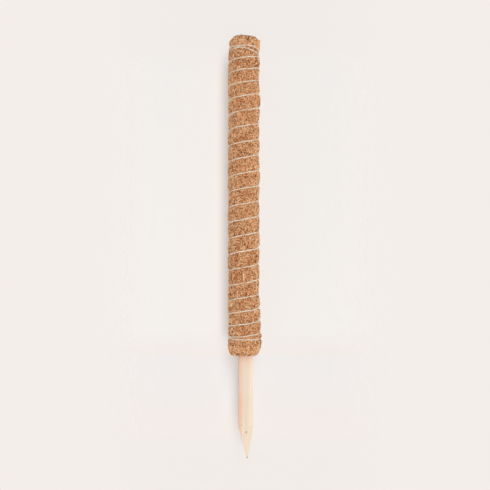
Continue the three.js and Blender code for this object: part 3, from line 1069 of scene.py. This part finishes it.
def makeTwineFinish(t):
    material, tree = newMaterial("cottonTwine")
    cream, shade = solid(t["cream"]), solid(t["shade"])
    colour = useGroup(tree, blotchGroup, Colour=cream, Blotch_Colour=shade, Scale=260.0, Amount=0.6)
    streak = useGroup(tree, streakGroup, Stretch=(5200.0, 5200.0, 5200.0), Contrast=1.4)
    shine = {"Roughness": 0.85, "Specular_IOR_Level": 0.25, "Sheen_Weight": 0.25}
    dress(tree, streak, 0.4, 0.00012, Base_Color=colour, **shine)
    return material


cottonTwine = makeTwineFinish(twine)
knotSizes = {
    "radius": 1.4,
    "length": 3.6,
    "tail": 7.0,
    "liftTurns": 0.25,
    "droop": 1.2,  # mm, of the tail
    "wraps": 3,
    "wrapThin": 0.92,
    "wrapReach": (0.55, 0.35),  # mm, least and what is added in the middle
    "wrapSpan": (0.12, 0.9),  # of the knot's length
    "barrel": 0.35,  # radians cut from both ends of its round outline
    "fit": 0.3,
    "corePoints": 28,
    "wrapPoints": 46,
}


def windingPath(m, w, k, t):
    steps = round(2 * np.pi * m["radius"] * w["turns"] / t["step"])
    turn = np.linspace(w["startTurn"], lastTurn, steps + 1)
    height = windingHeight(turn)
    toEnd = np.minimum(turn - turn[0], turn[-1] - turn)
    rise = k["radius"] + k["fit"] + w["diameter"] / 2 - w["stand"]
    lift = rise * smoothStep(1.0 - toEnd / k["liftTurns"])
    radius = baseRadius(m, height) + w["stand"] - w["diameter"] / 2 + lift - t["sunk"]
    wander = sum(size * np.sin(turn * pace + phase) for size, pace, phase in t["wander"])
    return onMat(m, turn * 360.0, radius, height + wander)


# plies of twine along a path, twisted about it
def twistedPlies(path, t, outward):
    along = np.gradient(path, axis=0)
    pace = np.linalg.norm(along, axis=1)
    run = np.concatenate([[0], np.cumsum(np.linalg.norm(np.diff(path, axis=0), axis=1))])
    along /= pace[:, None]
    out = outward - (outward * along).sum(1, keepdims=True) * along
    out /= np.linalg.norm(out, axis=1, keepdims=True)
    across = np.cross(along, out)
    uneven = 1 + t["unevenness"] * np.sin(run * 0.9 + 2 * np.sin(run * 0.23))
    paths, radii, outs = [], [], []
    for ply in range(t["plies"]):
        turn = 2 * np.pi * (run / t["twist"] + ply / t["plies"])
        away = out * np.cos(turn)[:, None] + across * np.sin(turn)[:, None]
        paths.append(path + t["plyOffset"] * uneven[:, None] * away)
        radii.append(t["plyRadius"] * uneven)
        outs.append(away)
    return np.stack(paths), np.stack(radii), np.stack(outs)


def makeTwine(m, w, k, t):
    path = windingPath(m, w, k, t)
    outward = path * np.array([1.0, 1.0, 0.0])
    outward[:, 0] += middleOffset(m, path[:, 2])
    paths, radii, outs = twistedPlies(path, t, outward)
    points, faces = tubeStrands(paths, radii, t["sides"], outs)
    piece = addPiece("bindingTwine", points, faces, cottonTwine, "twine")
    length = np.linalg.norm(np.diff(path, axis=0), axis=1).sum()
    print("binding twine:", round(float(length)), "mm")
    return piece, path


bindingTwine, twinePath = makeTwine(matSizes, winding, knotSizes, twine)
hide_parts("binding_twine")


# each knot: the twine runs through a barrel of its own wraps and ends in a short tail
def makeKnot(name, meets, along, k, t):
    along = along / np.linalg.norm(along)
    side = np.cross(along, [0.0, 0.0, 1.0])
    side /= np.linalg.norm(side)
    over = np.cross(side, along)
    share = np.linspace(0, 1, k["corePoints"])[:, None]
    droop = -k["droop"] * smoothStep((share - 0.4) / 0.6) * over
    core = meets + along * share * (k["fit"] + k["length"] + k["tail"]) + droop
    corePaths = twistedPlies(core, t, np.repeat(side[None], k["corePoints"], 0))
    turns = np.linspace(0, 2 * np.pi * k["wraps"], k["wrapPoints"])
    least, more = k["wrapReach"]
    barrel = np.sin(np.linspace(k["barrel"], np.pi - k["barrel"], k["wrapPoints"]))
    reach = (least + more * barrel)[:, None]
    ring = side * np.cos(turns)[:, None] + over * np.sin(turns)[:, None]
    place = np.linspace(*k["wrapSpan"], k["wrapPoints"])[:, None] * k["length"] + k["fit"]
    paths, radii, outs = twistedPlies(meets + along * place + ring * reach, t, ring)
    wraps = (paths, radii * k["wrapThin"], outs)
    return addPiece(name, *mergedTubes((corePaths, wraps), t["sides"]), cottonTwine, "twine")


bottomKnot = makeKnot("bottomKnot", twinePath[0], twinePath[0] - twinePath[3], knotSizes, twine)
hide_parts("bottom_knot")
topKnot = makeKnot("topKnot", twinePath[-1], twinePath[-1] - twinePath[-4], knotSizes, twine)
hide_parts("top_knot")
print("twine and knots made")

# stake: a turned dowel with a whittled point
stakeSizes = {
    "radius": 7.0,
    "below": 100.0,
    "top": 299.5,
    "chamfer": 0.8,
    "facets": ((34, 31.0, 1.0), (95, 31.5, 1.85), (200, 31.0, 1.0), (272, 30.5, -0.85)),
    "tipPlace": (1.36, 0.4),  # mm, the tip's middle
    "tipReach": 24.0,  # mm over which the outline's middle moves to the tip
    "columns": 160,
    "pointLength": 36.0,
    "pointRows": 100,
    "shaftRows": 110,
    "knifeWave": 0.07,  # mm, unevenness of the cuts
    "marks": (  # dark marks: place in mm, size in mm, strength
        ((0.5, -6.9, -74.0), 0.85, 0.6),
        ((-3.9, -5.8, -67.5), 0.8, 0.3),
        ((6.6, -2.3, -69.5), 1.0, 0.3),
        ((1.2, -0.4, -99.8), 1.4, 0.6),
    ),
    "rosyTurn": -56.0,  # degrees from the front: the side with a rosy tint, partly pinkish grain and partly painted warm shade away from the key lamp
    "rosySpan": 30.0,  # degrees to both sides
    "rosyTint": 0.75,
    "footShade": 0.5,  # rosy share close under the mat: painted warm shade
    "cutTint": 0.85,
    "cutSoft": 0.15,  # mm
    # ridge: a thin darker line painted along the point's ridges, as shade
    "ridgeTint": 0.35,
    "ridgeWidth": 0.12,  # mm
    "pale": (0.83, 0.74, 0.63),
    "warm": (0.81, 0.645, 0.49),
    # rosy: pinkish grain tint, also used as painted warm shade on the left side and just under the
    # mat
    "rosy": (0.88, 0.555, 0.395),
    "cut": (0.79, 0.685, 0.535),
    # line: dark streaks of grain, also the painted shade along the ridges
    "line": (0.72, 0.5, 0.35),
    "mark": (0.36, 0.17, 0.08),
}


def makeWoodFinish(s):
    material, tree = newMaterial("paleWood")
    grain = useGroup(tree, streakGroup, Stretch=(520.0, 520.0, 9.0), Contrast=1.8)
    fine = useGroup(tree, streakGroup, Stretch=(2600.0, 2600.0, 40.0), Contrast=1.6)
    ramp = rampOf(tree, grain, [(0.2, s["warm"]), (0.55, s["pale"]), (1.0, s["pale"])])
    warm = solid(s["warm"])
    colour = useGroup(tree, blotchGroup, Colour=ramp, Blotch_Colour=warm, Scale=35.0, Amount=0.35)
    colour = blend(tree, spread(tree, fine, 0.62, 1.0, 0.0, 0.4), colour, solid(s["line"]))
    # tints laid over the grain: rosy (grain tint and painted warm shade), cut facets, painted ridge
    # shade and dark marks
    for name, tint in (("rosy", "rosy"), ("cut", "cut"), ("ridge", "line"), ("mark", "mark")):
        share = put(tree, "Attribute", attribute_name=name + "Share").outputs["Fac"]
        colour = blend(tree, share, colour, solid(s[tint]))
    rough = spread(tree, fine, 0.0, 1.0, 0.62, 0.8)
    sheen = {"Specular_IOR_Level": 0.3, "Diffuse_Roughness": 1.0}
    dress(tree, fine, 0.15, 0.0002, Base_Color=colour, Roughness=rough, **sheen)
    return material


paleWood = makeWoodFinish(stakeSizes)


# the outline is followed from a middle that moves across to the tip
def makeStake(s):
    low, high = -s["below"], s["top"]
    point = np.linspace(low, low + s["pointLength"], s["pointRows"])
    shaft = np.linspace(point[-1] + 2, high - s["chamfer"], s["shaftRows"])
    rows = np.concatenate([point, shaft, [high - 0.35 * s["chamfer"], high]])
    angle = 2 * np.pi * np.arange(s["columns"])[None, :] / s["columns"]
    height = rows[:, None]
    aside = smoothStep(1 - (height - low) / s["tipReach"])
    middleX, middleY = s["tipPlace"][0] * aside, s["tipPlace"][1] * aside
    outX, outY = np.cos(angle), np.sin(angle)
    along = middleX * outX + middleY * outY
    uneven = 0.03 * np.sin(3 * angle + 0.02 * height) + 0.02 * np.sin(5 * angle)
    radius = np.sqrt(along**2 - middleX**2 - middleY**2 + s["radius"] ** 2) - along + uneven
    cut, ridge = np.zeros_like(radius), np.zeros_like(radius)
    for place, (turn, length, tip) in enumerate(s["facets"]):
        facing = math.radians(turn - 90)
        reach = tip + (s["radius"] - tip) * (height - low) / length
        sideways = np.sin(angle - facing) * s["radius"]
        knife = np.sin(0.55 * height + place) + np.sin(1.7 * sideways + 0.3 * height)
        reach = reach + s["knifeWave"] * knife * smoothStep((height - low) / 6.0)
        reach = reach - middleX * math.cos(facing) - middleY * math.sin(facing)
        away = np.cos(angle - facing)
        sliced = np.where(away > 0.05, reach / np.maximum(away, 0.05), 99.0)
        # a thin darker line along each ridge: painted shade
        edge = smoothStep(1.3 - np.abs(radius - sliced) / s["ridgeWidth"])
        ridge = np.maximum(ridge * (sliced > radius), edge)
        cut = np.where(sliced < radius, smoothStep((radius - sliced) / s["cutSoft"]), cut)
        radius = np.minimum(radius, sliced)
    radius[-1] -= s["chamfer"]
    radius[-2] -= 0.3 * s["chamfer"]
    radius[0] *= 0.8
    x, y = middleX + radius * outX, middleY + radius * outY
    points = np.stack([x, y, height + 0 * x], axis=-1)
    mark = np.zeros_like(x)
    for place, size, strength in s["marks"]:
        away = np.linalg.norm(points - np.array(place), axis=-1) / size
        mark = np.maximum(mark, strength * smoothStep(1.6 - away))
    # rosy tint round the left side: partly pinkish grain, partly painted warm shade on the side away
    # from the key lamp
    turned = np.degrees(np.arctan2(x, -y)) - s["rosyTurn"]
    rosy = smoothStep(1.4 - np.abs(turned + 6 * np.sin(0.05 * height)) / s["rosySpan"])
    rosy *= 0.8 + 0.2 * np.sin(0.11 * height + 1.0)
    # painted warm shade on the stake close under the mat
    shadeUnderMat = s["footShade"] * smoothStep((height + 16.0) / 14.0)
    leftCut = smoothStep((turned + 34.0) / 8.0)
    rosy = np.maximum(rosy * (1 - cut * leftCut), shadeUnderMat)
    faces = tubeFaces(1, len(rows), s["columns"])
    tones = {
        "markShare": mark.ravel(),
        "rosyShare": s["rosyTint"] * rosy.ravel(),
        "cutShare": s["cutTint"] * (cut * leftCut).ravel(),
        "ridgeShare": s["ridgeTint"] * ridge.ravel(),
    }
    return addPiece("stakeDowel", points, faces, paleWood, "stake_wood", tones)


stake = makeStake(stakeSizes)
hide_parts("stake")
print("stake made")

# stage: pale backdrop close behind, pale floor below, soft light
stageSetup = {
    "backdropBehind": 22.5,  # mm behind the axis
    "backdropSlant": -0.04,  # turned a little to the left
    "backdropWide": (70.0, 150.0),  # mm from the axis: whole up to the first, gone at the second
    "backdropTall": 560.0,
    "floorBelow": 145.0,
    "floorSize": 3000.0,
    "floorNear": (40.0, 110.0),  # mm from the axis: lit floor up to the first, plain at the second
    "floorGlow": 0.85,  # share of the lit floor that no shadow reaches
    "pale": (0.878, 0.836, 0.808),
    "far": (0.905, 0.855, 0.823),  # what the eye sees beyond
    "ownGlow": (  # height in mm, share of the backdrop's light that is its own glow, which no shadow reaches: painted light that weakens the pole's shadow near both ends and beside the point
        (-100, 0.95),
        (-88, 0.87),
        (-78, 0.74),
        (-66, 0.6),
        (-54, 0.53),
        (-35, 0.48),
        (-17, 0.4),
        (-6, 0.41),
        (2, 0.72),
        (10, 0.75),
        (20, 0.39),
        (270, 0.39),
        (282, 0.5),
        (292, 0.85),
        (302, 0.95),
    ),
    "paper": (  # height in mm, the backdrop's lit colour: cooler, as the pole throws warm light on it
        (-90, (0.86, 0.825, 0.80)),
        (-60, (0.80, 0.834, 0.87)),
        (-6, (0.80, 0.834, 0.87)),
        (8, (0.868, 0.862, 0.85)),
    ),
    "glow": (  # height in mm, the colour of the backdrop's own glow, left in the shadow: warmer beside the stake, a painted warm shadow
        (-90, (0.878, 0.836, 0.808)),
        (-60, (0.91, 0.80, 0.735)),
        (-6, (0.91, 0.80, 0.735)),
        (8, (0.878, 0.836, 0.808)),
    ),
    "worldColour": (1.0, 0.985, 0.97),
    "worldStrength": 0.15,
    "lampAim": (0.0, 0.0, 100.0),  # mm
    "key": {"turn": 11.0, "rise": 5.0, "away": 3.2, "size": (1.24, 7.5), "watts": 130.0},
    "fill": {"turn": -91.0, "rise": 8.0, "away": 1.4, "size": (0.8, 0.8), "watts": 5.6},
    "side": {"turn": 96.0, "rise": 8.0, "away": 1.4, "size": (0.8, 0.8), "watts": 3.6},
    "back": {"turn": 200.0, "rise": 25.0, "away": 1.4, "size": (0.8, 0.8), "watts": 12.0},
}


def plane(name, corners, material):
    mesh = bpy.data.meshes.new(name)
    mesh.from_pydata([Vector(c) * mm for c in corners], [], [(0, 1, 2, 3)])
    mesh.materials.append(material)
    piece = bpy.data.objects.new(name, mesh)
    bpy.context.scene.collection.objects.link(piece)
    return piece


# what the eye sees straight on, in gloss or through glass
def eyeRays(tree):
    path = put(tree, "LightPath").outputs
    direct = calc(tree, "MAXIMUM", path["Is Camera Ray"], path["Is Glossy Ray"])
    return calc(tree, "MAXIMUM", direct, path["Is Transmission Ray"])


def mixShaders(tree, output, share, first, second):
    mix = put(tree, "MixShader", share, first.outputs[0], second.outputs[0])
    connect(tree, tree.nodes[output].inputs["Surface"], mix.outputs[0])


# the backdrop shows only to the camera and in gloss, from its front, and fades out to both sides;
# part of its light is its own glow, painted light set by height
def makeBackdropFinish(s):
    material, tree = newMaterial("backdropPaper")
    tree.nodes.remove(tree.nodes["Principled BSDF"])
    place = put(tree, "SeparateXYZ", put(tree, "TexCoord").outputs["Object"]).outputs
    low, high = s["ownGlow"][0][0], s["ownGlow"][-1][0]
    climb = spread(tree, place["Z"], low * mm, high * mm)

    def byHeight(table):
        return rampOf(tree, climb, [((z - low) / (high - low), colour) for z, colour in table])

    share = byHeight([(z, (g, g, g)) for z, g in s["ownGlow"]])
    paper = put(tree, "BsdfDiffuse", Color=byHeight(s["paper"]))
    glow = put(tree, "Emission", Color=byHeight(s["glow"]))
    lit = put(tree, "MixShader", share, paper.outputs[0], glow.outputs[0])
    near, far = s["backdropWide"]
    aside = calc(tree, "ABSOLUTE", place["X"])
    fade = spread(tree, aside, near * mm, far * mm, 1.0, 0.0, "SMOOTHSTEP")
    front = calc(tree, "SUBTRACT", 1.0, put(tree, "NewGeometry").outputs["Backfacing"])
    shown = calc(tree, "MULTIPLY", eyeRays(tree), front)
    faded = calc(tree, "MULTIPLY", shown, fade)
    mixShaders(tree, "Material Output", faded, put(tree, "BsdfTransparent"), lit)
    return material


# the floor is lit paper near the pole and goes over to the plain far colour for the eye
def makeFloorFinish(s):
    material, tree = newMaterial("floorPaper")
    lit = feed(tree, tree.nodes["Principled BSDF"], Base_Color=solid(s["pale"]), Roughness=0.95)
    plain = put(tree, "Emission", Color=solid(s["far"]))
    place = put(tree, "TexCoord").outputs["Object"]
    flat = put(tree, "VectorMath", place, (1.0, 1.0, 0.0), operation="MULTIPLY").outputs[0]
    away = put(tree, "VectorMath", flat, operation="LENGTH").outputs["Value"]
    near, far = s["floorNear"]
    fade = spread(tree, away, near * mm, far * mm, s["floorGlow"], 1.0, "SMOOTHSTEP")
    seen = calc(tree, "MULTIPLY", fade, put(tree, "LightPath").outputs["Is Camera Ray"])
    mixShaders(tree, "Material Output", seen, lit, plain)
    return material


def makeWorld(s):
    world = bpy.data.worlds.new("studio")
    bpy.context.scene.world = world
    world.use_nodes = True
    tree = world.node_tree
    light = tree.nodes["Background"]
    feed(tree, light, Color=solid(s["worldColour"]), Strength=s["worldStrength"])
    seen = put(tree, "Background", Color=solid(s["far"]))
    mixShaders(tree, "World Output", eyeRays(tree), light, seen)


# a lamp on a ring round the pole: turn is degrees from the front towards the right
def softLamp(name, lampSetup, aim):
    lamp = bpy.data.lights.new(name, "AREA")
    lamp.shape = "RECTANGLE"
    lamp.size, lamp.size_y = lampSetup["size"]
    lamp.energy = lampSetup["watts"]
    holder = bpy.data.objects.new(name, lamp)
    turn, rise = math.radians(lampSetup["turn"]), math.radians(lampSetup["rise"])
    level = lampSetup["away"] * math.cos(rise)
    middle = Vector(aim) * mm
    place = Vector((level * math.sin(turn), -level * math.cos(turn), 0.0)) + middle
    place.z += lampSetup["away"] * math.sin(rise)
    holder.location = place
    holder.rotation_euler = (middle - place).to_track_quat("-Z", "Y").to_euler()
    holder.visible_camera = False
    bpy.context.scene.collection.objects.link(holder)


def makeStage(s):
    half = s["backdropWide"][1]
    left = s["backdropBehind"] - half * s["backdropSlant"]
    right = s["backdropBehind"] + half * s["backdropSlant"]
    low, high = -s["floorBelow"], s["backdropTall"] - s["floorBelow"]
    corners = [(-half, left, low), (half, right, low), (half, right, high), (-half, left, high)]
    plane("backdrop", corners, makeBackdropFinish(s))
    side = s["floorSize"] / 2
    ground = [(-side, -side, low), (side, -side, low), (side, side, low), (-side, side, low)]
    floor = plane("floor", ground, makeFloorFinish(s))
    floor.visible_shadow = False  # the tall key lamp reaches below it
    makeWorld(s)
    for name in ("key", "fill", "side", "back"):
        softLamp(name + "Lamp", s[name], s["lampAim"])


makeStage(stageSetup)
bpy.context.scene.view_settings.view_transform = "Standard"
print("stage set")
